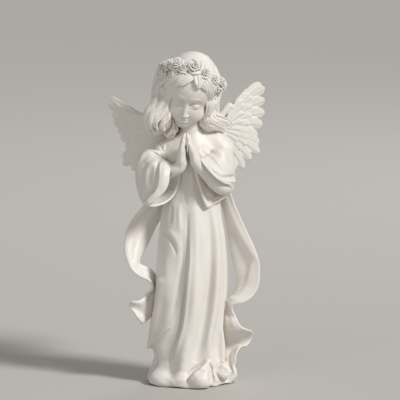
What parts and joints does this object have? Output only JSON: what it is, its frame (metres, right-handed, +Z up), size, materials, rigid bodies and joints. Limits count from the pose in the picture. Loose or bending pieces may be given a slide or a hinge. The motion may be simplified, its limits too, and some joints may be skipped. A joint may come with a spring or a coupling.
{
  "type": "praying angel statuette",
  "caption": "Standing child angel with folded hands, bowed head, rose wreath, wings, bell sleeves, long folded gown and two sash streamers; stands on a flat felt-padded base.",
  "frame": {"origin": "centre of the felt pad's flat underside, on the table", "axes": "+Z up along the figure; the angel faces -Y; +X is the angel's own left side, the viewer's right"},
  "size_m": [0.0953, 0.0575, 0.1999],
  "materials": {
    "resin_gown": "satin cast resin, warm white, unpainted",
    "resin_head": "satin cast resin, warm white, unpainted",
    "resin_wreath": "satin cast resin, warm white, unpainted",
    "resin_sleeves": "satin cast resin, warm white, unpainted",
    "resin_skin": "satin cast resin, warm white, unpainted",
    "resin_wings": "satin cast resin, warm white, unpainted",
    "resin_sash": "satin cast resin, warm white, unpainted",
    "plug_resin": "rough cast resin",
    "steel_dowel": "plain steel wire",
    "felt": "off-white felt"
  },
  "bodies": {
    "root": {"gown_body": "resin_gown", "head_with_hair": "resin_head", "wreath_band": "resin_wreath", "wreath_large_roses": "resin_wreath", "wreath_small_roses": "resin_wreath", "wreath_leaves": "resin_wreath", "right_sleeve": "resin_sleeves", "left_sleeve": "resin_sleeves", "right_hand": "resin_skin", "left_hand": "resin_skin", "right_wing": "resin_wings", "left_wing": "resin_wings", "right_sash_streamer": "resin_sash", "left_sash_streamer": "resin_sash", "neck_dowel": "steel_dowel", "shoulder_dowels": "steel_dowel", "elbow_dowels": "steel_dowel", "right_wing_dowels": "steel_dowel", "left_wing_dowels": "steel_dowel", "sash_dowels": "steel_dowel", "base_plug": "plug_resin", "felt_pad": "felt"}
  },
  "joints": []
}
